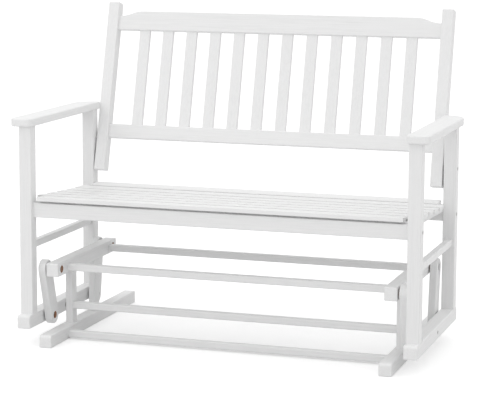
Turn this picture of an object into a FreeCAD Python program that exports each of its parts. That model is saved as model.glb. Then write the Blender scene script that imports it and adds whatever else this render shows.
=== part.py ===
import FreeCAD, Part
import os
import re
import Sketcher

# Two-seat glider bench in painted wood: a low base that stands on the floor,
# four swing links, and the seat frame that hangs from them.
# Millimetres. X runs to the right as seen from the front, Y runs from the front
# to the back, Z is up. The origin is on the floor, midway between the two feet
# and midway along them.

os.makedirs("parts", exist_ok=True)
doc = FreeCAD.newDocument("bench")
sheet = doc.addObject("Spreadsheet::Sheet", "dims")

sizes = {
    # seat frame: legs, bottom rails and side bars
    "frameHalf": 601.5, "legFront": -312, "legSpan": 473, "legWide": 38.5, "legDeep": 36,
    "railOut": 0.5, "railWide": 40, "railTall": 40, "railLow": 52, "railLead": 24, "railTail": 9,
    "sideBar": 21, "sideBarLow": 284.5,
    # armrests
    "armTop": 674, "armThick": 24, "armWide": 68, "armOut": 22.5, "armLead": 14, "armTail": 3,
    "armFrontRound": 18, "armRearRound": 60, "armEdge": 5,
    # seat: aprons, seat rails and slats
    "seatLow": 430.5, "seatSet": 5, "seatTail": 8, "seatTilt": 4, "seatDish": 1.9,
    "slatWide": 54, "slatThick": 12, "frontSlatGap": 14, "rearSlatGap": 7.5, "slatReach": 15,
    "seatRailThick": 22, "seatRailTall": 24, "seatRailDrop": 43, "seatTenonAt": 32, "seatTenonTall": 8,
    "apronThick": 22, "apronTall": 43.5, "apronSet": 13, "apronDrop": 50, "lipThick": 8,
    "rearApronSet": 7, "rearApronDrop": 72.5,
    # backrest
    "backLean": 14.8, "backLead": 9, "backRise": 32.5,
    "stileWide": 36, "stileDeep": 36, "stileLong": 540, "stileGap": 4,
    "backRailThick": 20, "backRailSet": 10, "lowRailAt": 104, "lowRailTall": 45,
    "topRailAt": 452, "topRailTall": 62, "topRailDrop": 16, "crownEnd": 83, "crownCurve": 95,
    "backSlatWide": 35, "backSlatThick": 12, "backSlatSet": 14, "backSlatEnd": 89.875, "slatTrim": 3,
    "stileBoltUp": 59, "stilePinUp": 105, "stilePinIn": 9, "pinLong": 28,
    # base
    "footLong": 676, "footTall": 38, "baseWide": 38, "baseRailEnd": 28, "baseRailTall": 40,
    "postWide": 22, "postDeep": 35, "postReach": 88.5, "barThick": 22, "barTall": 21,
    "upperBarFront": 144, "upperFrontAt": 6.3, "upperBarRear": 174, "upperRearAt": 8.5, "midBarLow": 80.5,
    "lowBarLow": 6, "lowBarReach": 148,
    # linkage
    "linkageMid": -54, "pivotHalf": 201, "frontLean": 44, "rearLean": 22.5, "linkDrop": 150,
    "linkWide": 52, "linkThick": 22.6, "spacerThick": 4, "spacerRadius": 10, "sideSlack": 0.2,
    # fittings
    "boltRadius": 4, "runGap": 0.08, "swingGap": 2.2, "holeGap": 0.2, "threadGap": 0.05,
    "headRadius": 8, "headTall": 5, "capRadius": 6, "capSink": 4, "hexKey": 3,
    "sinkRadius": 11, "sinkDepth": 9, "nutRadius": 7.5, "nutTall": 6.5,
    "washerRadius": 9, "washerThick": 1.6, "insertRadius": 7, "insertLong": 22,
    "barrelRadius": 6, "barrelLong": 16, "barrelReach": 34,
    "screwRadius": 2, "screwHead": 4, "screwHeadTall": 2.5, "screwDown": 10, "screwLong": 17, "screwSet": 40,
    # joinery and eased edges
    "tenonDepth": 12, "tenonTrim": 5, "mortiseGap": 0.3,
    "edgeRound": 3, "seatSlatRound": 1, "backSlatRound": 2.5, "noseRound": 9,
}
row = 0
for alias, value in sizes.items():
    row += 1
    sheet.set(f"A{row}", alias)
    sheet.set(f"B{row}", str(value))
    sheet.setAlias(f"B{row}", alias)

# lengths that follow from the ones above
leanSin = "sin(backLean * 1 deg)"
leanCos = "cos(backLean * 1 deg)"
derived = {
    "legBase": "=railLow + railTall",
    "legTall": "=armTop - armThick - legBase",
    "rearLegFront": "=legFront + legSpan",
    "railLong": "=railLead + legSpan + legDeep + railTail",
    "frameInner": "=frameHalf - legWide",
    "railInner": "=frameHalf + railOut - railWide",
    "pivotLow": "=railLow + railTall / 2",
    "pivotHigh": "=pivotLow + linkDrop",
    "linkLong": "=sqrt(frontLean ^ 2 + linkDrop ^ 2)",
    "rearPivotLow": "=pivotHigh - sqrt(linkLong ^ 2 - rearLean ^ 2)",
    "frontPivotAt": "=linkageMid - pivotHalf + frontLean",
    "rearPivotAt": "=linkageMid + pivotHalf - rearLean",
    "baseHalf": "=railInner - 2 * spacerThick - 2 * sideSlack - linkThick",
    "baseInner": "=baseHalf - baseWide",
    "baseRailLow": "=pivotHigh - baseRailTall / 2",
    "baseRailLong": "=2 * pivotHalf + 2 * baseRailEnd",
    "upperFrontLow": "=baseRailLow + upperFrontAt",
    "upperRearLow": "=baseRailLow + upperRearAt",
    "postInner": "=baseHalf - (baseWide + postWide) / 2",
    "linkInner": "=baseHalf + spacerThick + sideSlack",
    "linkOuter": "=linkInner + linkThick",
    "slatPitch": "=(legSpan + seatTail - seatSet - slatWide) / 6",
    "apronLow": "=seatLow - apronDrop",
    "rearApronLow": "=seatLow - rearApronDrop",
    "frontApronBack": "=legFront + apronSet + apronThick",
    "rearApronFront": "=rearLegFront + rearApronSet",
    "backFront": "=rearLegFront - backLead",
    "backLow": "=seatLow + backRise",
    "stileInner": "=frameInner - stileGap - stileWide",
    "crownHalf": "=stileInner - crownEnd",
    "backSlatPitch": "=(stileInner - backSlatEnd) / 5.5",
    "stileBoltY": f"=backFront + stileBoltUp * {leanSin} + stileDeep / 2 * {leanCos}",
    "stileBoltZ": f"=backLow + stileBoltUp * {leanCos} - stileDeep / 2 * {leanSin}",
    "stilePinY": f"=backFront + stilePinUp * {leanSin} + stilePinIn * {leanCos}",
    "stilePinZ": f"=backLow + stilePinUp * {leanCos} - stilePinIn * {leanSin}",
    "tilt1": "=seatTilt",
    "drop1": "=0",
    "slatHalf1": "=frameInner - frontSlatGap",
}
slats = 7
for n in range(2, slats + 1):
    derived[f"slatHalf{n}"] = "=frameInner + slatReach" if n < slats else "=frameInner - rearSlatGap"
    derived[f"tilt{n}"] = f"=seatTilt * (1 - seatDish * (({n} - 1) / 6) ^ 5)"
    derived[f"drop{n}"] = f"=drop{n - 1} + slatPitch * tan(tilt{n - 1} * 1 deg)"
for alias, formula in derived.items():
    row += 1
    sheet.set(f"A{row}", alias)
    sheet.set(f"B{row}", formula)
    sheet.setAlias(f"B{row}", alias)
doc.recompute()

names = sorted(list(sizes) + list(derived), key=len, reverse=True)
aliasPattern = re.compile(r"\b(" + "|".join(names) + r")\b")
alongX = FreeCAD.Rotation(FreeCAD.Vector(0, 1, 0), 90)
againstX = FreeCAD.Rotation(FreeCAD.Vector(0, 1, 0), -90)
alongY = FreeCAD.Rotation(FreeCAD.Vector(1, 0, 0), -90)
upright = FreeCAD.Rotation()
pieces = []


def bind(thing, prop, text):
    thing.setExpression(prop, aliasPattern.sub(r"dims.\1", text))


def seat_at(thing, x, y, z):
    bind(thing, "Placement.Base.x", x)
    bind(thing, "Placement.Base.y", y)
    bind(thing, "Placement.Base.z", z)


def turn_about_x(thing, angle, sign=-1):
    # a negative sign leans the top of the piece to the rear
    turn = FreeCAD.Rotation(FreeCAD.Vector(sign, 0, 0), 5)
    thing.Placement = FreeCAD.Placement(thing.Placement.Base, turn)
    bind(thing, "Placement.Rotation.Angle", angle)


def new_body(label, x, y, z):
    body = doc.addObject("PartDesign::Body", label)
    body.Label = label
    seat_at(body, x, y, z)
    pieces.append(body)
    return body


def box(body, kind, length, width, height, x="0", y="0", z="0"):
    block = body.newObject(f"PartDesign::{kind}Box", f"{body.Label}_{kind.lower()}")
    bind(block, "Length", length)
    bind(block, "Width", width)
    bind(block, "Height", height)
    seat_at(block, x, y, z)
    return block


def bore(body, radius, length, x, y, z, facing=alongX):
    hole = body.newObject("PartDesign::SubtractiveCylinder", f"{body.Label}_bore")
    hole.Placement = FreeCAD.Placement(FreeCAD.Vector(), facing)
    bind(hole, "Radius", radius)
    bind(hole, "Height", length)
    seat_at(hole, x, y, z)
    return hole


def ease(body, radius, wanted=None):
    doc.recompute()
    tip = body.Tip
    edges = [""]
    if wanted:
        edges = [f"Edge{i + 1}" for i, e in enumerate(tip.Shape.Edges) if wanted(e)]
    fillet = body.newObject("PartDesign::Fillet", f"{body.Label}_eased")
    fillet.Base = (tip, edges)
    fillet.UseAllEdges = wanted is None
    bind(fillet, "Radius", radius)
    doc.recompute()
    return fillet


def outline(body, plane, points):
    # closed outline through the points, every corner held by two lengths
    sketch = body.newObject("Sketcher::SketchObject", f"{body.Label}_outline")
    facing = FreeCAD.Rotation(FreeCAD.Vector(1, 1, 1), 120)
    if plane == "XZ":
        facing = FreeCAD.Rotation(FreeCAD.Vector(1, 0, 0), 90)
    sketch.Placement = FreeCAD.Placement(FreeCAD.Vector(), facing)
    count = len(points)
    guess = []
    for a, b in points:
        guess.append(FreeCAD.Vector(measure(a), measure(b), 0))
    for i in range(count):
        sketch.addGeometry(Part.LineSegment(guess[i], guess[(i + 1) % count]))
    for i in range(count):
        sketch.addConstraint(Sketcher.Constraint("Coincident", i, 2, (i + 1) % count, 1))
    for i in range(count):
        across = sketch.addConstraint(Sketcher.Constraint("DistanceX", -1, 1, i, 1, guess[i].x))
        bind(sketch, f"Constraints[{across}]", points[i][0])
        along = sketch.addConstraint(Sketcher.Constraint("DistanceY", -1, 1, i, 1, guess[i].y))
        bind(sketch, f"Constraints[{along}]", points[i][1])
    return sketch


def slat_point(thing, n, start, fromY, fromZ, x):
    # a point on the screw line of slat n, moved square to the slat
    down = f"({start})"
    y = f"{fromY} + {n - 1} * slatPitch + screwSet * cos(tilt{n} * 1 deg) + {down} * sin(tilt{n} * 1 deg)"
    z = f"{fromZ} - drop{n} - screwSet * sin(tilt{n} * 1 deg) + {down} * cos(tilt{n} * 1 deg)"
    seat_at(thing, x, y, z)


def measure(text):
    return float(sheet.evalExpression(aliasPattern.sub(r"dims.\1", text)))


def pad(body, sketch, depth, backward=False):
    solid = body.newObject("PartDesign::Pad", f"{body.Label}_pad")
    solid.Profile = sketch
    solid.Reversed = backward
    bind(solid, "Length", depth)
    return solid


def mortise(body, length, width, height, x, y, z):
    gap = "mortiseGap"
    room = [f"{side} + 2 * {gap}" for side in (length, width, height)]
    corner = [f"{place} - {gap}" for place in (x, y, z)]
    return box(body, "Subtractive", *room, *corner)


def front_top(edge):
    return edge.BoundBox.YMax < 1 and edge.BoundBox.ZMin > 20


def crown_corner(edge):
    halfLong = measure("stileInner") - 1
    return edge.BoundBox.YLength > 1 and abs(edge.BoundBox.XMin) < halfLong


def rear_top(edge):
    return edge.BoundBox.YMin > 1 and edge.BoundBox.ZMin > 100 and edge.BoundBox.XLength > 1


def rear_outer_left(edge):
    return edge.BoundBox.ZLength > 1 and edge.BoundBox.YMin > 100 and edge.BoundBox.XMax < 1


def rear_outer_right(edge):
    return edge.BoundBox.ZLength > 1 and edge.BoundBox.YMin > 100 and edge.BoundBox.XMin > 10


def side_x(sign, outer, wide):
    if sign < 0:
        return f"-({outer})"
    return f"{outer} - {wide}"


sides = (("left", -1), ("right", 1))
depth = "tenonDepth"
trim = "tenonTrim"

# base: feet, top rails, posts and cross bars

for side, sign in sides:
    foot = new_body(f"base_foot_{side}", side_x(sign, "baseHalf", "baseWide"), "-footLong / 2", "0")
    box(foot, "Additive", "baseWide", "footLong", "footTall")
    ease(foot, "noseRound", front_top)
    ease(foot, "edgeRound")
    rail = new_body(f"base_rail_{side}", side_x(sign, "baseHalf", "baseWide"),
                    "linkageMid - baseRailLong / 2", "baseRailLow")
    box(rail, "Additive", "baseWide", "baseRailLong", "baseRailTall")
    ease(rail, "edgeRound")
    for end in (-1, 1):
        # mortises for the two posts
        tenonSize = (f"postWide - 2 * {trim}", f"postDeep - 2 * {trim}", depth)
        postX = f"(baseWide - postWide) / 2 + {trim}"
        postY = f"{end} * postReach - postDeep / 2 + {trim}"
        mortise(foot, *tenonSize, postX, f"footLong / 2 + linkageMid + {postY}", f"footTall - {depth}")
        mortise(rail, *tenonSize, postX, f"baseRailLong / 2 + {postY}", "0")
        # pivot bore, sunk on the inner face for the washer and nut
        pivotY = f"baseRailLong / 2 + {end} * pivotHalf"
        bore(rail, "boltRadius + holeGap", "baseWide + 2", "-1", pivotY, "baseRailTall / 2")
        sinkX = "baseWide - sinkDepth" if sign < 0 else "-1"
        bore(rail, "sinkRadius", "sinkDepth + 1", sinkX, pivotY, "baseRailTall / 2")
    barX = f"baseWide - {depth}" if sign < 0 else "0"
    barEnd = (depth, f"barThick - 2 * {trim}", f"barTall - 2 * {trim}")
    for reach, at in (("-upperBarFront", "upperFrontAt"), ("upperBarRear", "upperRearAt")):
        mortise(rail, *barEnd, barX, f"baseRailLong / 2 + {reach} - barThick / 2 + {trim}",
                f"{at} + {trim}")
    mortise(foot, *barEnd, barX, f"footLong / 2 + linkageMid - lowBarReach - barThick / 2 + {trim}",
            f"lowBarLow + {trim}")
    for end, where in ((-1, "front"), (1, "rear")):
        post = new_body(f"base_post_{where}_{side}", side_x(sign, "postInner + postWide", "postWide"),
                        f"linkageMid + {end} * postReach - postDeep / 2", "footTall")
        box(post, "Additive", "postWide", "postDeep", "baseRailLow - footTall")
        ease(post, "edgeRound", lambda e: abs(e.Vertexes[0].Z - e.Vertexes[-1].Z) > 20)
        box(post, "Additive", f"postWide - 2 * {trim}", f"postDeep - 2 * {trim}",
            f"baseRailLow - footTall + 2 * {depth}", trim, trim, f"-{depth}")
        if where == "front":
            mortise(post, *barEnd, f"postWide - {depth}" if sign < 0 else "0",
                    f"(postDeep - barThick) / 2 + {trim}", f"midBarLow - footTall + {trim}")

bars = (("base_bar_upper_front", "baseInner", "linkageMid - upperBarFront", "upperFrontLow"),
        ("base_bar_upper_rear", "baseInner", "linkageMid + upperBarRear", "upperRearLow"),
        ("base_bar_middle", "postInner", "linkageMid - postReach", "midBarLow"),
        ("base_bar_low", "baseInner", "linkageMid - lowBarReach", "lowBarLow"))
for label, half, middle, low in bars:
    bar = new_body(label, f"-{half}", f"{middle} - barThick / 2", low)
    box(bar, "Additive", f"2 * {half}", "barThick", "barTall")
    ease(bar, "edgeRound", lambda e: abs(e.Vertexes[0].X - e.Vertexes[-1].X) > 20)
    box(bar, "Additive", f"2 * {half} + 2 * {depth}", f"barThick - 2 * {trim}", f"barTall - 2 * {trim}",
        f"-{depth}", trim, trim)

# swing links: flat bars with round ends, all of one length. The upper bolt is
# sunk on the outer face and the lower one on the inner face. At rest the seat
# hangs a little to the rear, so the front links lean more than the rear ones.
# The rear links' lower holes are wide, with room for the loop's small error.

for side, sign in sides:
    for end, where in ((-1, "front"), (1, "rear")):
        link = new_body(f"link_{where}_{side}", side_x(sign, "linkOuter", "linkThick"),
                        f"linkageMid + {end} * pivotHalf", "pivotHigh")
        lean = "atan(frontLean / linkDrop)" if where == "front" else "asin(rearLean / linkLong)"
        turn_about_x(link, lean, -end)
        box(link, "Additive", "linkThick", "linkWide", "linkLong", "0", "-linkWide / 2", "-linkLong")
        for height in ("0", "-linkLong"):
            cap = link.newObject("PartDesign::AdditiveCylinder", f"{link.Label}_cap")
            cap.Placement = FreeCAD.Placement(FreeCAD.Vector(), alongX)
            bind(cap, "Radius", "linkWide / 2")
            bind(cap, "Height", "linkThick")
            seat_at(cap, "0", "0", height)
        ease(link, "edgeRound", lambda e: abs(e.BoundBox.XMax - e.BoundBox.XMin) < 0.01)
        lowGap = "runGap" if where == "front" else "swingGap"
        bore(link, "boltRadius + runGap", "linkThick + 2", "-1", "0", "0")
        bore(link, f"boltRadius + {lowGap}", "linkThick + 2", "-1", "0", "-linkLong")
        outerX = "-1" if sign < 0 else "linkThick - sinkDepth"
        innerX = "linkThick - sinkDepth" if sign < 0 else "-1"
        bore(link, "sinkRadius", "sinkDepth + 1", outerX, "0", "0")
        bore(link, "sinkRadius", "sinkDepth + 1", innerX, "0", "-linkLong")

# seat frame: bottom rails, legs, armrests and side bars

for side, sign in sides:
    rail = new_body(f"bottom_rail_{side}", side_x(sign, "frameHalf + railOut", "railWide"),
                    "legFront - railLead", "railLow")
    box(rail, "Additive", "railWide", "railLong", "railTall")
    ease(rail, "noseRound", front_top)
    ease(rail, "edgeRound")
    legX = "railOut" if sign < 0 else "railWide - legWide - railOut"
    for start in ("railLead", "railLead + legSpan"):
        mortise(rail, f"legWide - 4 * {trim}", f"legDeep - 4 * {trim}", depth, f"{legX} + 2 * {trim}",
                f"{start} + 2 * {trim}", f"railTall - {depth}")
    for at, height in (("frontPivotAt", "pivotLow"), ("rearPivotAt", "rearPivotLow")):
        bore(rail, "insertRadius", "insertLong + 1", "railWide - insertLong" if sign < 0 else "-1",
             f"{at} - legFront + railLead", f"{height} - railLow")
    bore(rail, "boltRadius + holeGap", "railWide + 2", "-1", "railLong / 2", "railTall / 2")
    bore(rail, "capRadius + holeGap", "capSink + 1", "-1" if sign < 0 else "railWide - capSink",
         "railLong / 2", "railTall / 2")

    arm = new_body(f"armrest_{side}", side_x(sign, "frameHalf + armOut", "armWide"),
                   "legFront - armLead", "armTop - armThick")
    box(arm, "Additive", "armWide", "armLead + legSpan + legDeep + armTail", "armThick")
    ease(arm, "armRearRound", rear_outer_left if sign < 0 else rear_outer_right)
    ease(arm, "armFrontRound", lambda e: e.BoundBox.ZLength > 1 and e.BoundBox.YMax < 2)
    ease(arm, "armEdge", lambda e: e.BoundBox.ZLength < 0.01)
    armX = "armOut" if sign < 0 else "armWide - legWide - armOut"
    for start in ("armLead", "armLead + legSpan"):
        mortise(arm, f"legWide - 4 * {trim}", f"legDeep - 4 * {trim}", depth, f"{armX} + 2 * {trim}",
                f"{start} + 2 * {trim}", "0")

    for end, where in ((0, "front"), (1, "rear")):
        leg = new_body(f"leg_{where}_{side}", side_x(sign, "frameHalf", "legWide"),
                       f"legFront + {end} * legSpan", "legBase")
        box(leg, "Additive", "legWide", "legDeep", "legTall")
        ease(leg, "edgeRound", lambda e: e.BoundBox.ZLength > 100)
        box(leg, "Additive", f"legWide - 4 * {trim}", f"legDeep - 4 * {trim}", f"legTall + 2 * {depth}",
            f"2 * {trim}", f"2 * {trim}", f"-{depth}")
        mortise(leg, f"sideBar - 2 * {trim}", depth, f"sideBar - 2 * {trim}",
                f"(legWide - sideBar) / 2 + {trim}", f"legDeep - {depth}" if end == 0 else "0",
                f"sideBarLow - legBase + {trim}")
        # bolt hole into the end of the apron
        apronY = "apronSet + apronThick / 2" if end == 0 else "rearApronSet + apronThick / 2"
        apronZ = "apronLow" if end == 0 else "rearApronLow"
        capX = "-1" if sign < 0 else "legWide - capSink"
        boltAt = [(apronY, f"{apronZ} + apronTall / 2 - legBase")]
        if end == 1:
            boltAt.append(("stileBoltY - rearLegFront", "stileBoltZ - legBase"))
            bore(leg, "boltRadius + holeGap", "(pinLong - stileGap) / 2 + 1",
                 "legWide - (pinLong - stileGap) / 2" if sign < 0 else "-1",
                 "stilePinY - rearLegFront", "stilePinZ - legBase")
        for y, z in boltAt:
            bore(leg, "boltRadius + holeGap", "legWide + 2", "-1", y, z)
            bore(leg, "capRadius + holeGap", "capSink + 1", capX, y, z)

    bar = new_body(f"side_bar_{side}", side_x(sign, "frameHalf - (legWide - sideBar) / 2", "sideBar"),
                   "legFront + legDeep", "sideBarLow")
    box(bar, "Additive", "sideBar", "legSpan - legDeep", "sideBar")
    ease(bar, "edgeRound", lambda e: e.BoundBox.YLength > 100)
    box(bar, "Additive", f"sideBar - 2 * {trim}", f"legSpan - legDeep + 2 * {depth}",
        f"sideBar - 2 * {trim}", trim, f"-{depth}", trim)

# seat: two aprons, three sloping rails and seven slats

seatRails = (("left", "-frameInner"), ("middle", "-seatRailThick / 2"),
             ("right", "frameInner - seatRailThick"))
aprons = (("front", "apronLow", "frontApronBack - apronThick"), ("rear", "rearApronLow", "rearApronFront"))
for where, low, front in aprons:
    apron = new_body(f"apron_{where}", "-frameInner", front, low)
    box(apron, "Additive", "2 * frameInner", "apronThick", "apronTall")
    ease(apron, "edgeRound", lambda e: e.BoundBox.XLength > 100)
    if where == "front":
        # lip along the back, up to the underside of the front slat
        lipTop = "apronDrop - (apronSet + apronThick - seatSet) * tan(tilt1 * 1 deg)"
        box(apron, "Additive", "2 * frameInner", "lipThick", f"{lipTop} - apronTall + edgeRound",
            "0", "apronThick - lipThick", "apronTall - edgeRound")
    inner = f"apronThick - {depth}" if where == "front" else "0"
    for name, railX in seatRails:
        mortise(apron, f"seatRailThick - 2 * {trim}", depth, "seatTenonTall",
                f"{railX} + frameInner + {trim}", inner, "seatTenonAt")
    for end, sign in sides:
        boltX = "-1" if sign < 0 else "2 * frameInner - barrelReach - barrelRadius - 8"
        bore(apron, "boltRadius + holeGap", "barrelReach + barrelRadius + 9", boltX,
             "apronThick / 2", "apronTall / 2")
        barrelX = "barrelReach" if sign < 0 else "2 * frameInner - barrelReach"
        depthStart = "(apronThick - barrelLong) / 2 - holeGap" if where == "front" else "-1"
        depthLong = "(apronThick + barrelLong) / 2 + 1 + holeGap"
        bore(apron, "barrelRadius + holeGap", depthLong, barrelX, depthStart, "apronTall / 2", alongY)

slatTops = [("frontApronBack", "-(apronSet + apronThick - seatSet) * tan(tilt1 * 1 deg)")]
for n in range(2, slats + 1):
    slatTops.append((f"legFront + seatSet + {n - 1} * slatPitch", f"-drop{n}"))
lastReach = f"(rearApronFront - legFront - seatSet - {slats - 1} * slatPitch)"
slatTops.append(("rearApronFront", f"-drop{slats} - {lastReach} * tan(tilt{slats} * 1 deg)"))
for name, railX in seatRails:
    rail = new_body(f"seat_rail_{name}", railX, "frontApronBack", "seatLow")
    points = []
    for y, z in slatTops:
        points.append((f"{y} - frontApronBack", z))
    points.append(("rearApronFront - frontApronBack", "-seatRailDrop"))
    points.append(("0", f"{slatTops[0][1]} - seatRailTall"))
    pad(rail, outline(rail, "YZ", points), "seatRailThick")
    tenonSize = (f"seatRailThick - 2 * {trim}", depth, "seatTenonTall")
    box(rail, "Additive", *tenonSize, trim, f"-{depth}", "apronLow + seatTenonAt - seatLow")
    box(rail, "Additive", *tenonSize, trim, "rearApronFront - frontApronBack",
        "rearApronLow + seatTenonAt - seatLow")
    for n in range(1, slats + 1):
        start = "-seatRailTall - 6"
        for radius, length in (("screwRadius + holeGap", "seatRailTall + 7"),
                               ("screwHead + holeGap", "seatRailTall + 6 - screwDown")):
            hole = bore(rail, radius, length, "seatRailThick / 2", "0", "0", upright)
            turn_about_x(hole, f"tilt{n}")
            slat_point(hole, n, start, "legFront + seatSet - frontApronBack", "0", "seatRailThick / 2")

for n in range(1, slats + 1):
    slat = new_body(f"seat_slat_{n}", f"-slatHalf{n}", f"legFront + seatSet + {n - 1} * slatPitch",
                    f"seatLow - drop{n}")
    turn_about_x(slat, f"tilt{n}")
    box(slat, "Additive", f"2 * slatHalf{n}", "slatWide", "slatThick")
    ease(slat, "seatSlatRound")
    for name, railX in seatRails:
        bore(slat, "screwRadius + threadGap", "screwLong - screwDown + 2",
             f"{railX} + seatRailThick / 2 + slatHalf{n}", "screwSet", "-1", upright)

# backrest, leaning to the rear: stiles, rails and twelve slats

backRails = (("low", "lowRailAt", "lowRailTall"), ("top", "topRailAt", "topRailTall - topRailDrop"))
for side, sign in sides:
    stileX = side_x(sign, "stileInner + stileWide", "stileWide")
    stile = new_body(f"stile_{side}", stileX, "backFront", "backLow")
    turn_about_x(stile, "backLean")
    box(stile, "Additive", "stileWide", "stileDeep", "stileLong")
    ease(stile, "noseRound", rear_top)
    ease(stile, "edgeRound")
    innerX = f"stileWide - {depth}" if sign < 0 else "0"
    for name, start, tall in backRails:
        mortise(stile, depth, f"backRailThick - 2 * {trim}", f"{tall} - 2 * {trim}", innerX,
                f"backRailSet + {trim}", f"{start} + {trim}")
    bore(stile, "insertRadius", "insertLong + 1", "-1" if sign < 0 else "stileWide - insertLong",
         "stileDeep / 2", "stileBoltUp")
    bore(stile, "boltRadius + holeGap", "(pinLong - stileGap) / 2 + 1",
         "-1" if sign < 0 else "stileWide - (pinLong - stileGap) / 2", "stilePinIn", "stilePinUp")

knees = ("crownHalf + (stileInner - crownHalf) / 4", "crownHalf + 3 * (stileInner - crownHalf) / 4")
crown = [("-stileInner", "0"), ("stileInner", "0"), ("stileInner", "topRailTall - topRailDrop"),
         (knees[1], "topRailTall - topRailDrop"), (knees[0], "topRailTall"),
         (f"-({knees[0]})", "topRailTall"), (f"-({knees[1]})", "topRailTall - topRailDrop"),
         ("-stileInner", "topRailTall - topRailDrop")]
for where, start, tall in backRails:
    rail = new_body(f"back_rail_{where}", "0", "backFront", "backLow")
    turn_about_x(rail, "backLean")
    if where == "low":
        box(rail, "Additive", "2 * stileInner", "backRailThick", tall,
            "-stileInner", "backRailSet", start)
    else:
        top = outline(rail, "XZ", crown)
        bind(top, "Placement.Base.y", "backRailSet")
        bind(top, "Placement.Base.z", start)
        pad(rail, top, "backRailThick", True)
        ease(rail, "crownCurve", crown_corner)
    ease(rail, "edgeRound", lambda e: e.BoundBox.YLength < 0.1 and e.BoundBox.XLength > 2)
    box(rail, "Additive", f"2 * stileInner + 2 * {depth}", f"backRailThick - 2 * {trim}",
        f"{tall} - 2 * {trim}", f"-stileInner - {depth}", f"backRailSet + {trim}", f"{start} + {trim}")
    slotZ = f"{start} + {tall} - {depth}" if where == "low" else start
    for n in range(12):
        mortise(rail, "backSlatWide - 2 * slatTrim", "backSlatThick - 2 * slatTrim", depth,
                f"{n - 5.5} * backSlatPitch - backSlatWide / 2 + slatTrim", "backSlatSet + slatTrim", slotZ)

backSlats = new_body("back_slats", "0", "backFront", "backLow")
turn_about_x(backSlats, "backLean")
slatLow = "(lowRailAt + lowRailTall)"
for n in range(12):
    box(backSlats, "Additive", "backSlatWide", "backSlatThick", f"topRailAt - {slatLow}",
        f"{n - 5.5} * backSlatPitch - backSlatWide / 2", "backSlatSet", slatLow)
ease(backSlats, "backSlatRound", lambda e: e.BoundBox.ZLength > 100)
for n in range(12):
    box(backSlats, "Additive", "backSlatWide - 2 * slatTrim", "backSlatThick - 2 * slatTrim",
        f"topRailAt - {slatLow} + 2 * {depth}",
        f"{n - 5.5} * backSlatPitch - backSlatWide / 2 + slatTrim",
        "backSlatSet + slatTrim", f"{slatLow} - {depth}")

# fittings. Each group runs along X, outward from the middle of the bench

upperPivots = [(s, "linkageMid - pivotHalf", "pivotHigh") for s in (-1, 1)]
upperPivots += [(s, "linkageMid + pivotHalf", "pivotHigh") for s in (-1, 1)]
lowerPivots = [(s, "frontPivotAt", "pivotLow") for s in (-1, 1)]
lowerPivots += [(s, "rearPivotAt", "rearPivotLow") for s in (-1, 1)]
stileBolts = [(s, "stileBoltY", "stileBoltZ") for s in (-1, 1)]
apronBolts = [(s, "frontApronBack - apronThick / 2", "apronLow + apronTall / 2") for s in (-1, 1)]
apronBolts += [(s, "rearApronFront + apronThick / 2", "rearApronLow + apronTall / 2") for s in (-1, 1)]
railBolts = [(s, "legFront - railLead + railLong / 2", "railLow + railTall / 2") for s in (-1, 1)]


def round_bar(body, spot, radius, inner, outer):
    # a cylinder from the inner to the outer distance from the middle plane
    sign, y, z = spot
    solid = body.newObject("PartDesign::AdditiveCylinder", f"{body.Label}_bar")
    solid.Placement = FreeCAD.Placement(FreeCAD.Vector(), alongX if sign > 0 else againstX)
    bind(solid, "Radius", radius)
    bind(solid, "Height", f"{outer} - ({inner})")
    seat_at(solid, inner if sign > 0 else f"-({inner})", y, z)


def through(body, spot, radius, inner, outer):
    sign, y, z = spot
    hole = bore(body, radius, f"{outer} - ({inner})", inner if sign > 0 else f"-({inner})", y, z,
                alongX if sign > 0 else againstX)
    return hole


def hexagon(body, spot, kind, corner, inner, outer):
    sign, y, z = spot
    solid = body.newObject(f"PartDesign::{kind}Prism", f"{body.Label}_hexagon")
    solid.Polygon = 6
    solid.Placement = FreeCAD.Placement(FreeCAD.Vector(), alongX if sign > 0 else againstX)
    bind(solid, "Circumradius", corner)
    bind(solid, "Height", f"{outer} - ({inner})")
    seat_at(solid, inner if sign > 0 else f"-({inner})", y, z)


def bolts(label, spots, radius, tip, bearing, headRadius, headTall, headOut=True):
    body = new_body(label, "0", "0", "0")
    for spot in spots:
        round_bar(body, spot, radius, tip, bearing)
        if headOut:
            headEnd = f"{bearing} + ({headTall})"
            round_bar(body, spot, headRadius, bearing, headEnd)
            hexagon(body, spot, "Subtractive", "hexKey", f"{bearing} + ({headTall}) / 3", f"{headEnd} + 1")
        else:
            headEnd = f"{tip} - ({headTall})"
            round_bar(body, spot, headRadius, headEnd, tip)
            hexagon(body, spot, "Subtractive", "hexKey", f"{headEnd} - 1", f"{tip} - ({headTall}) / 3")
    return body


def rings(label, spots, outerRadius, innerRadius, inner, outer, sixSided=False):
    body = new_body(label, "0", "0", "0")
    for spot in spots:
        if sixSided:
            hexagon(body, spot, "Additive", outerRadius, inner, outer)
        else:
            round_bar(body, spot, outerRadius, inner, outer)
    for spot in spots:
        through(body, spot, innerRadius, f"{inner} - 1", f"{outer} + 1")
    return body


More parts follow.
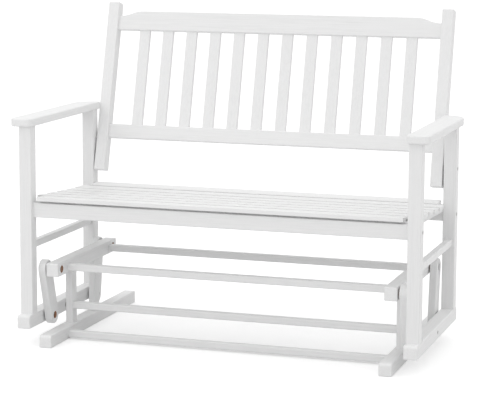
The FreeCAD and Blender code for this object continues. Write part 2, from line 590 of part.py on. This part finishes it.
boltHole = "boltRadius + holeGap"
threadHole = "boltRadius + threadGap"
washerAt = "baseInner + sinkDepth"
bolts("base_pivot_bolts", upperPivots, "boltRadius", f"{washerAt} - washerThick - nutTall",
      "linkOuter - sinkDepth + sideSlack", "headRadius", "headTall")
rings("base_pivot_washers", upperPivots, "washerRadius", boltHole, f"{washerAt} - washerThick", washerAt)
rings("base_pivot_nuts", upperPivots, "nutRadius", threadHole,
      f"{washerAt} - washerThick - nutTall", f"{washerAt} - washerThick", True)
rings("base_pivot_spacers", upperPivots, "spacerRadius", boltHole, "baseHalf", "baseHalf + spacerThick")
bolts("seat_pivot_bolts", lowerPivots, "boltRadius", "linkInner + sinkDepth - sideSlack",
      "railInner + insertLong - 2", "headRadius", "headTall", False)
bolts("stile_bolts", stileBolts, "boltRadius", "stileInner + stileWide - insertLong + 2",
      "frameHalf - capSink", "capRadius", "capSink - 0.5")
bolts("apron_bolts", apronBolts, "boltRadius", "frameInner - barrelReach - barrelRadius - 6",
      "frameHalf - capSink", "capRadius", "capSink - 0.5")
bolts("rail_bolts", railBolts, "boltRadius", "railInner - washerThick - nutTall",
      "frameHalf + railOut - capSink", "capRadius", "capSink - 0.5")
rings("rail_bolt_washers", railBolts, "washerRadius", boltHole, "railInner - washerThick", "railInner")
rings("rail_bolt_nuts", railBolts, "nutRadius", threadHole,
      "railInner - washerThick - nutTall", "railInner - washerThick", True)

spacers = rings("seat_spacers", lowerPivots, "spacerRadius", boltHole, "linkOuter + sideSlack", "railInner")
for spot in stileBolts:
    round_bar(spacers, spot, "spacerRadius", "frameInner - stileGap", "frameInner")
for spot in stileBolts:
    through(spacers, spot, boltHole, "frameInner - stileGap - 1", "frameInner + 1")
insertEnd = "railInner + insertLong"
inserts = rings("threaded_inserts", lowerPivots, "insertRadius", threadHole, "railInner", insertEnd)
stileOuter = "frameInner - stileGap"
for spot in stileBolts:
    round_bar(inserts, spot, "insertRadius", f"{stileOuter} - insertLong", stileOuter)
for spot in stileBolts:
    through(inserts, spot, threadHole, f"{stileOuter} - insertLong - 1", f"{stileOuter} + 1")

pins = new_body("stile_pins", "0", "0", "0")
for sign in (-1, 1):
    round_bar(pins, (sign, "stilePinY", "stilePinZ"), "boltRadius",
              "frameInner - stileGap / 2 - pinLong / 2", "frameInner - stileGap / 2 + pinLong / 2")

barrels = new_body("barrel_nuts", "0", "0", "0")
for sign, y, z in apronBolts:
    solid = barrels.newObject("PartDesign::AdditiveCylinder", "barrel_nuts_bar")
    solid.Placement = FreeCAD.Placement(FreeCAD.Vector(), alongY)
    bind(solid, "Radius", "barrelRadius")
    bind(solid, "Height", "barrelLong")
    seat_at(solid, f"{sign} * (frameInner - barrelReach)", f"{y} - barrelLong / 2", z)
for spot in apronBolts:
    through(barrels, spot, threadHole, "frameInner - barrelReach - barrelRadius - 1",
            "frameInner - barrelReach + barrelRadius + 1")

screws = new_body("slat_screws", "0", "legFront + seatSet", "seatLow")
for name, railX in seatRails:
    for n in range(1, slats + 1):
        for radius, start, length in (("screwRadius", "-screwDown", "screwLong"),
                                      ("screwHead", "-screwDown - screwHeadTall", "screwHeadTall")):
            solid = screws.newObject("PartDesign::AdditiveCylinder", "slat_screws_bar")
            bind(solid, "Radius", radius)
            bind(solid, "Height", length)
            turn_about_x(solid, f"tilt{n}")
            slat_point(solid, n, start, "0", "0", f"{railX} + seatRailThick / 2")

# check and write

doc.recompute()
faults = 0
for thing in doc.Objects:
    if "Invalid" in thing.State or "Error" in thing.State:
        faults += 1
        print("fault in", thing.Label, thing.State)
for body in pieces:
    shape = body.Shape
    if shape.isNull() or not shape.isValid():
        faults += 1
        print("bad shape in", body.Label)
    print(body.Label, len(shape.Solids), "solids")
if faults:
    raise RuntimeError(f"{faults} faults in the model")
for body in pieces:
    body.Shape.exportStep(f"parts/{body.Label}.step")
print(len(pieces), "pieces written")
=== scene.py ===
import bmesh
import bpy
import math
from mathutils import Matrix, Vector

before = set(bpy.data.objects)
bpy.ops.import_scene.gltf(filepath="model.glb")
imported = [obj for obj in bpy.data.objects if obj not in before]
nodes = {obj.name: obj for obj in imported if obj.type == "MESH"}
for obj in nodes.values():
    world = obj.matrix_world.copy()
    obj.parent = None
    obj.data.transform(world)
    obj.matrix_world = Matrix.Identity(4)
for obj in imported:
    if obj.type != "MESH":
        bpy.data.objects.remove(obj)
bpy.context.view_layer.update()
print("frame loaded:", len(nodes), "pieces")

# Materials. Every length is in metres, on the bench's own axes.

grainLook = {
    "scale": 9,
    "stretch": 26,  # how much finer the grain is across the board than along it
    "detail": 4,
    "roughness": 0.6,
    "distortion": 0.25,
    "wanderScale": 5,  # the slow change from one patch of the board to the next
    "wanderDetail": 2,
}
paintLook = {
    "colour": (0.82, 0.82, 0.82, 1),
    "shade": (0.73, 0.73, 0.73, 1),  # where the film is thin over the grain
    "thinFrom": 0.42,  # grain values between which the film grows thin
    "thinTo": 0.78,
    "roughness": 0.43,
    "brushScale": 210,
    "brushDetail": 3,
    "brushSheen": 0.10,  # what the brush marks add to the roughness
    "brushHeight": 0.22,  # and to the relief
    "bumpStrength": 0.35,
    "bump": 0.00035,
}
gapShadeLook = {
    "colour": (0.73, 0.73, 0.725, 1),  # painted shade on the faces inside the gaps between slats
    "behind": -0.3,  # the gaps lie behind this Y, and the seat's front edge before it
    "steepFrom": 0.6,  # how square to Y a face starts to count as one in a gap
    "steepGain": 2.5,
}
boreLook = {
    "bareWood": (0.52, 0.27, 0.17, 1),  # the unpainted wall of a sunk bore
    "radius": 0.0113,
    "upperFrontY": -0.255, "upperRearY": 0.147, "upperZ": 0.222,
    "lowerFrontY": -0.211, "lowerRearY": 0.1245, "frontZ": 0.072, "rearZ": 0.0673,
    # how far from the middle of the bench each recess starts and ends
    "railInner": (0.4932, 0.5025), "linkInner": (0.5354, 0.5445), "linkOuter": (0.5485, 0.5576),
}
metalLook = {
    "zinc": (0.50, 0.50, 0.49, 1),
    "dull": (0.33, 0.33, 0.33, 1),
    "brass": (0.60, 0.46, 0.24, 1),
    "bronze": (0.34, 0.20, 0.12, 1),
    "darkBronze": (0.20, 0.12, 0.08, 1),
    "roughness": 0.28,  # where the plating is smoothest
    "wear": 0.3,
    "speckleScale": 260,
    "speckleDetail": 4,
}


def addNode(tree, kind, place, **values):
    node = tree.nodes.new(kind)
    node.location = place
    for name, value in values.items():
        setattr(node, name, value)
    return node


def newGroup(name, inputs, outputs):
    tree = bpy.data.node_groups.new(name, "ShaderNodeTree")
    for label, kind, start in inputs:
        socket = tree.interface.new_socket(name=label, in_out="INPUT", socket_type=kind)
        if start is not None:
            socket.default_value = start
    for label, kind in outputs:
        tree.interface.new_socket(name=label, in_out="OUTPUT", socket_type=kind)
    entry = addNode(tree, "NodeGroupInput", (-900, 0))
    leave = addNode(tree, "NodeGroupOutput", (700, 0))
    return tree, entry, leave


def mathNode(tree, operation, first, second, place, clamp=False):
    node = addNode(tree, "ShaderNodeMath", place, operation=operation, use_clamp=clamp)
    for index, value in enumerate((first, second)):
        if value is None:
            continue
        if isinstance(value, (int, float)):
            node.inputs[index].default_value = value
        else:
            tree.links.new(value, node.inputs[index])
    return node.outputs[0]


def mixColour(tree, factor, first, second, place):
    node = addNode(tree, "ShaderNodeMix", place, data_type="RGBA")
    for index, value in ((0, factor), (6, first), (7, second)):  # Factor and the colours A and B
        socket = node.inputs[index]
        if isinstance(value, (int, float, tuple)):
            socket.default_value = value
        else:
            tree.links.new(value, socket)
    return node.outputs[2]


def makeGrain():
    # long fibres along local X: a fine streak pattern and a slow wander
    tree, entry, leave = newGroup("woodGrain", [
        ("Vector", "NodeSocketVector", None), ("Scale", "NodeSocketFloat", grainLook["scale"]),
        ("Stretch", "NodeSocketFloat", grainLook["stretch"])],
        [("Fibre", "NodeSocketFloat"), ("Wander", "NodeSocketFloat")])
    across = addNode(tree, "ShaderNodeCombineXYZ", (-700, -160))
    across.inputs[0].default_value = 1
    tree.links.new(entry.outputs["Stretch"], across.inputs[1])
    tree.links.new(entry.outputs["Stretch"], across.inputs[2])
    squeezed = addNode(tree, "ShaderNodeVectorMath", (-500, 0), operation="MULTIPLY")
    tree.links.new(entry.outputs["Vector"], squeezed.inputs[0])
    tree.links.new(across.outputs[0], squeezed.inputs[1])
    fibre = addNode(tree, "ShaderNodeTexNoise", (-250, 120))
    fibre.inputs["Detail"].default_value = grainLook["detail"]
    fibre.inputs["Roughness"].default_value = grainLook["roughness"]
    fibre.inputs["Distortion"].default_value = grainLook["distortion"]
    wander = addNode(tree, "ShaderNodeTexNoise", (-250, -180))
    wander.inputs["Detail"].default_value = grainLook["wanderDetail"]
    wander.inputs["Scale"].default_value = grainLook["wanderScale"]
    tree.links.new(squeezed.outputs[0], fibre.inputs["Vector"])
    tree.links.new(entry.outputs["Scale"], fibre.inputs["Scale"])
    tree.links.new(entry.outputs["Vector"], wander.inputs["Vector"])
    tree.links.new(fibre.outputs["Fac"], leave.inputs["Fibre"])
    tree.links.new(wander.outputs["Fac"], leave.inputs["Wander"])
    return tree


def makePaint(grain):
    # brushed satin paint over planed wood
    tree, entry, leave = newGroup("brushedPaint", [
        ("Vector", "NodeSocketVector", None), ("Paint", "NodeSocketColor", paintLook["colour"]),
        ("Thin Paint", "NodeSocketColor", paintLook["shade"]),
        ("Gloss", "NodeSocketFloat", paintLook["roughness"])],
        [("Color", "NodeSocketColor"), ("Roughness", "NodeSocketFloat"),
         ("Height", "NodeSocketFloat")])
    fibres = addNode(tree, "ShaderNodeGroup", (-600, 120), node_tree=grain)
    tree.links.new(entry.outputs["Vector"], fibres.inputs["Vector"])
    brush = addNode(tree, "ShaderNodeTexNoise", (-600, -200))
    brush.inputs["Scale"].default_value = paintLook["brushScale"]
    brush.inputs["Detail"].default_value = paintLook["brushDetail"]
    tree.links.new(entry.outputs["Vector"], brush.inputs["Vector"])
    thin = addNode(tree, "ShaderNodeMapRange", (-300, 160))
    thin.inputs["From Min"].default_value = paintLook["thinFrom"]
    thin.inputs["From Max"].default_value = paintLook["thinTo"]
    tree.links.new(fibres.outputs["Fibre"], thin.inputs["Value"])
    patchy = mathNode(tree, "MULTIPLY", thin.outputs[0], fibres.outputs["Wander"], (-100, 160))
    colour = mixColour(tree, patchy, entry.outputs["Paint"], entry.outputs["Thin Paint"],
                       (100, 200))
    tree.links.new(colour, leave.inputs["Color"])
    sheen = mathNode(tree, "MULTIPLY", brush.outputs["Fac"], paintLook["brushSheen"], (-100, -60))
    gloss = mathNode(tree, "ADD", entry.outputs["Gloss"], sheen, (100, -60), True)
    tree.links.new(gloss, leave.inputs["Roughness"])
    fine = mathNode(tree, "MULTIPLY", brush.outputs["Fac"], paintLook["brushHeight"], (-100, -240))
    height = mathNode(tree, "ADD", fibres.outputs["Fibre"], fine, (100, -240))
    tree.links.new(height, leave.inputs["Height"])
    return tree


def makeSunkBore():
    # 1 inside a round recess along X, 0 outside it
    tree, entry, leave = newGroup("sunkBore", [
        ("Vector", "NodeSocketVector", None), ("At Y", "NodeSocketFloat", 0.0),
        ("At Z", "NodeSocketFloat", 0.0), ("Radius", "NodeSocketFloat", boreLook["radius"]),
        ("From X", "NodeSocketFloat", 0.0), ("To X", "NodeSocketFloat", 1.0)],
        [("Mask", "NodeSocketFloat")])
    split = addNode(tree, "ShaderNodeSeparateXYZ", (-700, 0))
    tree.links.new(entry.outputs["Vector"], split.inputs[0])
    overY = mathNode(tree, "SUBTRACT", split.outputs[1], entry.outputs["At Y"], (-500, 100))
    overZ = mathNode(tree, "SUBTRACT", split.outputs[2], entry.outputs["At Z"], (-500, -60))
    squareY = mathNode(tree, "MULTIPLY", overY, overY, (-320, 100))
    squareZ = mathNode(tree, "MULTIPLY", overZ, overZ, (-320, -60))
    total = mathNode(tree, "ADD", squareY, squareZ, (-150, 40))
    reach = mathNode(tree, "SQRT", total, None, (0, 40))
    nearAxis = mathNode(tree, "LESS_THAN", reach, entry.outputs["Radius"], (160, 40))
    sideways = mathNode(tree, "ABSOLUTE", split.outputs[0], None, (-320, -240))
    after = mathNode(tree, "GREATER_THAN", sideways, entry.outputs["From X"], (-100, -200))
    before = mathNode(tree, "LESS_THAN", sideways, entry.outputs["To X"], (-100, -340))
    within = mathNode(tree, "MULTIPLY", after, before, (160, -240))
    mask = mathNode(tree, "MULTIPLY", nearAxis, within, (340, 0))
    tree.links.new(mask, leave.inputs["Mask"])
    return tree


grainGroup = makeGrain()
paintGroup = makePaint(grainGroup)
boreGroup = makeSunkBore()

grainTurns = {"across": (0, 0, 0), "deep": (0, 0, math.pi / 2), "upright": (0, math.pi / 2, 0)}


def surface(name):
    material = bpy.data.materials.new(name)
    material.use_nodes = True
    tree = material.node_tree
    tree.nodes.clear()
    shader = addNode(tree, "ShaderNodeBsdfPrincipled", (300, 0))
    finish = addNode(tree, "ShaderNodeOutputMaterial", (620, 0))
    tree.links.new(shader.outputs[0], finish.inputs[0])
    where = addNode(tree, "ShaderNodeTexCoord", (-1000, 0))
    return material, tree, shader, where.outputs["Object"]


def boreMask(tree, objectPlace, bore, place):
    mask = addNode(tree, "ShaderNodeGroup", place, node_tree=boreGroup)
    tree.links.new(objectPlace, mask.inputs["Vector"])
    for label, value in bore.items():
        mask.inputs[label].default_value = value
    return mask.outputs["Mask"]


def paintedGapShadeMask(tree, objectPlace):
    # 1 on the faces square to Y that stand in the gaps between the seat slats, where shade is
    # painted into the colour
    facing = addNode(tree, "ShaderNodeTexCoord", (-1000, 500))
    turn = addNode(tree, "ShaderNodeSeparateXYZ", (-800, 500))
    spot = addNode(tree, "ShaderNodeSeparateXYZ", (-800, 350))
    tree.links.new(facing.outputs["Normal"], turn.inputs[0])
    tree.links.new(objectPlace, spot.inputs[0])
    towardY = mathNode(tree, "ABSOLUTE", turn.outputs[1], None, (-650, 500))
    steep = mathNode(tree, "SUBTRACT", towardY, gapShadeLook["steepFrom"], (-500, 500))
    square = mathNode(tree, "MULTIPLY", steep, gapShadeLook["steepGain"], (-350, 500), True)
    behind = mathNode(tree, "GREATER_THAN", spot.outputs[1], gapShadeLook["behind"], (-500, 350))
    return mathNode(tree, "MULTIPLY", square, behind, (-200, 450))


def paintMaterial(name, run, bores=(), paintedGapShade=False):
    # run is the way the board's fibres go; each bore is a recess with bare wood in it
    material, tree, shader, objectPlace = surface(name)
    turned = addNode(tree, "ShaderNodeMapping", (-800, 0))
    turned.inputs["Rotation"].default_value = grainTurns[run]
    tree.links.new(objectPlace, turned.inputs["Vector"])
    paint = addNode(tree, "ShaderNodeGroup", (-500, 0), node_tree=paintGroup)
    tree.links.new(turned.outputs[0], paint.inputs["Vector"])
    colour = paint.outputs["Color"]
    for bore in bores:
        inBore = boreMask(tree, objectPlace, bore, (-500, -300))
        colour = mixColour(tree, inBore, colour, boreLook["bareWood"], (-200, -200))
    # painted shade: the faces in the gaps between the seat slats are darkened
    if paintedGapShade:
        colour = mixColour(tree, paintedGapShadeMask(tree, objectPlace), colour, gapShadeLook["colour"], (0, 300))
    tree.links.new(colour, shader.inputs["Base Color"])
    tree.links.new(paint.outputs["Roughness"], shader.inputs["Roughness"])
    bump = addNode(tree, "ShaderNodeBump", (0, -300))
    bump.inputs["Strength"].default_value = paintLook["bumpStrength"]
    bump.inputs["Distance"].default_value = paintLook["bump"]
    tree.links.new(paint.outputs["Height"], bump.inputs["Height"])
    tree.links.new(bump.outputs[0], shader.inputs["Normal"])
    return material


def metalMaterial(name, bright, dull, painted=()):
    # painted lists the recesses where the metal is painted over together with the wood
    material, tree, shader, objectPlace = surface(name)
    speckle = addNode(tree, "ShaderNodeTexNoise", (-600, 0))
    speckle.inputs["Scale"].default_value = metalLook["speckleScale"]
    speckle.inputs["Detail"].default_value = metalLook["speckleDetail"]
    tree.links.new(objectPlace, speckle.inputs["Vector"])
    colour = mixColour(tree, speckle.outputs["Fac"], bright, dull, (-200, 0))
    worn = mathNode(tree, "MULTIPLY", speckle.outputs["Fac"], metalLook["wear"], (-300, -200))
    roughness = mathNode(tree, "ADD", worn, metalLook["roughness"], (-100, -200))
    tree.links.new(roughness, shader.inputs["Roughness"])
    shader.inputs["Metallic"].default_value = 1
    bareMetal = None
    for bore in painted:
        inBore = boreMask(tree, objectPlace, bore, (-600, 300))
        colour = mixColour(tree, inBore, colour, paintLook["colour"], (0, 300))
        clear = mathNode(tree, "SUBTRACT", 1, inBore, (-200, 400))
        if bareMetal is None:
            bareMetal = clear
        else:
            bareMetal = mathNode(tree, "MULTIPLY", bareMetal, clear, (0, 400))
    if painted:
        tree.links.new(bareMetal, shader.inputs["Metallic"])
    tree.links.new(colour, shader.inputs["Base Color"])
    return material


def recess(y, z, span):
    return {"At Y": boreLook[y], "At Z": boreLook[z],
            "From X": boreLook[span][0], "To X": boreLook[span][1]}


paintAcross = paintMaterial("whitePaintAcross", "across")
paintDeep = paintMaterial("whitePaintDeep", "deep")
paintUpright = paintMaterial("whitePaintUpright", "upright")
# the seat slats carry painted shade in the gaps between them
paintSeatSlat = paintMaterial("whitePaintSeatSlat", "across", paintedGapShade=True)
paintBaseRail = paintMaterial("whitePaintBaseRail", "deep", [
    recess("upperFrontY", "upperZ", "railInner"), recess("upperRearY", "upperZ", "railInner")])
paintFrontLink = paintMaterial("whitePaintFrontLink", "upright", [
    recess("lowerFrontY", "frontZ", "linkInner")])
zincMetal = metalMaterial("zincPlate", metalLook["zinc"], metalLook["dull"])
brassMetal = metalMaterial("insertBrass", metalLook["brass"], metalLook["dull"])
bronzeMetal = metalMaterial("pivotBronze", metalLook["bronze"], metalLook["darkBronze"], [
    recess("upperFrontY", "upperZ", "linkOuter"), recess("upperRearY", "upperZ", "linkOuter"),
    recess("lowerRearY", "rearZ", "linkInner")])
print("materials built")

# each piece takes the finish whose name is the longest start of its own
finishes = {
    "base_foot": paintDeep, "base_rail": paintBaseRail, "base_post": paintUpright,
    "base_bar": paintAcross, "link_front": paintFrontLink, "link_rear": paintUpright,
    "bottom_rail": paintDeep, "armrest": paintDeep, "leg_": paintUpright, "side_bar": paintDeep,
    "apron_": paintAcross, "seat_rail": paintDeep, "seat_slat": paintSeatSlat,
    "stile_": paintUpright, "back_rail": paintAcross, "back_slats": paintUpright,
    "base_pivot": bronzeMetal, "seat_pivot": bronzeMetal, "stile_bolts": zincMetal,
    "apron_bolts": zincMetal, "rail_bolt": zincMetal, "seat_spacers": zincMetal,
    "threaded_inserts": brassMetal, "barrel_nuts": zincMetal, "slat_screws": zincMetal,
    "stile_pins": paintAcross,
}
for name, node in nodes.items():
    starts = [start for start in finishes if name.startswith(start)]
    if not starts:
        print("no finish for", name)
        continue
    material = finishes[max(starts, key=len)]
    if not node.material_slots:
        node.data.materials.append(material)
    for slot in node.material_slots:
        slot.material = material
print("finishes set")

# Stage, lights and camera

stageLook = {
    "floorSize": 60, "floorColour": (0.7, 0.7, 0.7, 1), "floorRoughness": 0.9,
    "floorGlow": 0.42,  # lifts the floor to white for the camera alone
    "white": (1, 1, 1, 1),
    "skyLow": 0.35, "skyHigh": 1.38,  # light from the horizon and from overhead
}


def seenDirectly(tree, place):
    # 1 for the camera and for mirrored views of the backdrop, 0 for the light on the bench
    left, high = place
    path = addNode(tree, "ShaderNodeLightPath", place)
    either = mathNode(tree, "MAXIMUM", path.outputs["Is Camera Ray"], path.outputs["Is Glossy Ray"],
                      (left + 200, high))
    return mathNode(tree, "MAXIMUM", either, path.outputs["Is Transmission Ray"],
                    (left + 380, high))


def addFloor():
    # a pale floor, white away from the bench's soft shadow
    shape = bmesh.new()
    bmesh.ops.create_grid(shape, x_segments=1, y_segments=1, size=stageLook["floorSize"] / 2)
    mesh = bpy.data.meshes.new("floor")
    shape.to_mesh(mesh)
    shape.free()
    floor = bpy.data.objects.new("floor", mesh)
    bpy.context.scene.collection.objects.link(floor)
    material, tree, shader, _ = surface("paleFloor")
    shader.inputs["Base Color"].default_value = stageLook["floorColour"]
    shader.inputs["Roughness"].default_value = stageLook["floorRoughness"]
    shader.inputs["Specular IOR Level"].default_value = 0
    shader.inputs["Emission Color"].default_value = stageLook["white"]
    seen = seenDirectly(tree, (-700, -300))
    glow = mathNode(tree, "MULTIPLY", seen, stageLook["floorGlow"], (0, -300))
    tree.links.new(glow, shader.inputs["Emission Strength"])
    mesh.materials.append(material)


def addSky():
    # soft light that grows from the horizon upwards, behind a plain white backdrop
    world = bpy.data.worlds.new("softBox")
    bpy.context.scene.world = world
    world.use_nodes = True
    sky = world.node_tree
    sky.nodes.clear()
    seen = seenDirectly(sky, (-800, 200))
    soft = addNode(sky, "ShaderNodeBackground", (-200, 0))
    soft.inputs["Color"].default_value = stageLook["white"]
    direction = addNode(sky, "ShaderNodeTexCoord", (-1000, -100))
    split = addNode(sky, "ShaderNodeSeparateXYZ", (-800, -100))
    sky.links.new(direction.outputs["Generated"], split.inputs[0])
    rise = mathNode(sky, "MAXIMUM", split.outputs[2], 0.0, (-650, -100))
    span = stageLook["skyHigh"] - stageLook["skyLow"]
    gain = mathNode(sky, "MULTIPLY", rise, span, (-500, -100))
    strength = mathNode(sky, "ADD", gain, stageLook["skyLow"], (-350, -100))
    sky.links.new(strength, soft.inputs["Strength"])
    white = addNode(sky, "ShaderNodeBackground", (-200, -150))
    white.inputs["Color"].default_value = stageLook["white"]
    blend = addNode(sky, "ShaderNodeMixShader", (50, 0))
    leave = addNode(sky, "ShaderNodeOutputWorld", (250, 0))
    sky.links.new(seen, blend.inputs[0])
    sky.links.new(soft.outputs[0], blend.inputs[1])
    sky.links.new(white.outputs[0], blend.inputs[2])
    sky.links.new(blend.outputs[0], leave.inputs[0])


addFloor()
addSky()

lampAim = Vector((0, 0, 0.45))  # about the height of the seat
lamps = {
    "overheadLamp": {"at": (-2.5, -0.5, 3.6), "power": 8, "size": 2.5},
    "leftFrontLamp": {"at": (-2.5, -5.0, 2.2), "power": 37, "size": 3.0},
    "rightLamp": {"at": (4.5, -0.5, 1.2), "power": 16, "size": 3.0},
    "lowFrontLamp": {"at": (0.5, -5.5, 1.0), "power": 18, "size": 3.0},
}


def addLamp(name, look):
    light = bpy.data.lights.new(name, "AREA")
    light.energy = look["power"]
    light.size = look["size"]
    lamp = bpy.data.objects.new(name, light)
    lamp.location = look["at"]
    towards = lampAim - Vector(look["at"])
    lamp.rotation_euler = towards.to_track_quat("-Z", "Y").to_euler()
    bpy.context.scene.collection.objects.link(lamp)


for name, look in lamps.items():
    addLamp(name, look)

# angles in radians, focal length and centre in pixels of the 491 by 403 picture
cameraLook = {
    "at": (1.6580, -5.1424, 1.2862), "pan": 0.3128, "tilt": 0.1376, "roll": 0.0044,
    "focal": 1825.9, "width": 491, "height": 403, "centreX": 245.5, "centreY": 160,
    "sensor": 36, "farthest": 100,
}


def placeCamera(look):
    lens = bpy.data.cameras.new("viewCamera")
    lens.sensor_fit = "HORIZONTAL"
    lens.sensor_width = look["sensor"]
    lens.lens = look["focal"] / look["width"] * look["sensor"]
    lens.shift_x = (look["width"] / 2 - look["centreX"]) / look["width"]
    lens.shift_y = (look["centreY"] - look["height"] / 2) / look["width"]
    lens.clip_end = look["farthest"]
    forward = Vector((-math.sin(look["pan"]) * math.cos(look["tilt"]),
                      math.cos(look["pan"]) * math.cos(look["tilt"]), -math.sin(look["tilt"])))
    right = Vector((math.cos(look["pan"]), math.sin(look["pan"]), 0))
    up = right.cross(forward)
    rolledRight = right * math.cos(look["roll"]) + up * math.sin(look["roll"])
    rolledUp = up * math.cos(look["roll"]) - right * math.sin(look["roll"])
    camera = bpy.data.objects.new("viewCamera", lens)
    turn = Matrix((rolledRight, rolledUp, -forward)).transposed()
    camera.matrix_world = Matrix.Translation(look["at"]) @ turn.to_4x4()
    bpy.context.scene.collection.objects.link(camera)
    bpy.context.scene.camera = camera


placeCamera(cameraLook)
bpy.context.scene.view_settings.view_transform = "Standard"
print("stage, lights and camera set")
